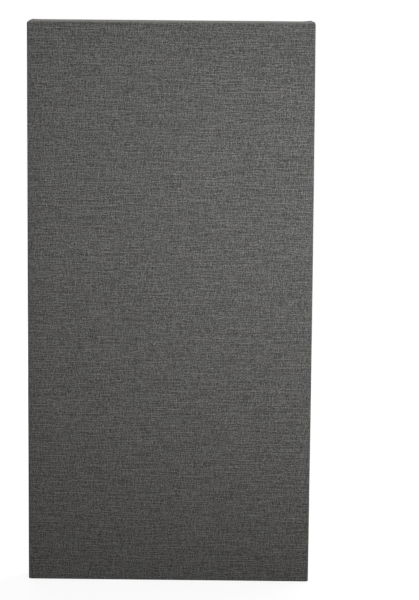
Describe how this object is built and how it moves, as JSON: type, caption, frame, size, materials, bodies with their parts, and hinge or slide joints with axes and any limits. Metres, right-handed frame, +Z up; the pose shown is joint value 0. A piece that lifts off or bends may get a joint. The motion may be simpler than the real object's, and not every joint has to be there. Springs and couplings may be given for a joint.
{
  "type": "acoustic panel",
  "caption": "Upright rectangular sound absorbing panel: foam in a mitred timber frame, wrapped in heathered woven cloth, with turning wire ring hangers on the back.",
  "frame": {"origin": "middle of the flat underside, halfway through the panel's depth", "axes": "+Z up, +X to the right as seen from the front, front face towards -Y, back and hangers towards +Y"},
  "size_m": [0.6096, 0.0567, 1.2206],
  "materials": {
    "cloth": "heathered dark grey linen look weave",
    "foam": "open cell foam",
    "pine": "planed softwood",
    "plywood": "sanded birch plywood",
    "dust_sheet": "black non-woven sheet",
    "zinc_steel": "zinc plated steel",
    "rubber": "satin"
  },
  "bodies": {
    "panel": {"stile_left": "pine", "stile_right": "pine", "rail_top": "pine", "rail_bottom": "pine", "cross_brace": "pine", "gusset_top_left": "plywood", "gusset_top_right": "plywood", "gusset_bottom_left": "plywood", "gusset_bottom_right": "plywood", "foam_core": "foam", "fabric_wrap": "cloth", "dust_cover": "dust_sheet", "strap_left": "zinc_steel", "strap_screw_left_upper": "zinc_steel", "strap_screw_left_lower": "zinc_steel", "bumper_left": "rubber", "strap_right": "zinc_steel", "strap_screw_right_upper": "zinc_steel", "strap_screw_right_lower": "zinc_steel", "bumper_right": "rubber"},
    "hanger_ring_left": {"ring_left": "zinc_steel"},
    "hanger_ring_right": {"ring_right": "zinc_steel"}
  },
  "joints": [
    {"name": "ring_left_turn", "type": "hinge", "parent": "panel", "child": "hanger_ring_left", "pos_m": [-0.2895, 0.0285, 1.0692], "axis": [1, 0, 0], "range_deg": [0, 180]},
    {"name": "ring_right_turn", "type": "hinge", "parent": "panel", "child": "hanger_ring_right", "pos_m": [0.2895, 0.0285, 1.0692], "axis": [1, 0, 0], "range_deg": [0, 180]}
  ]
}
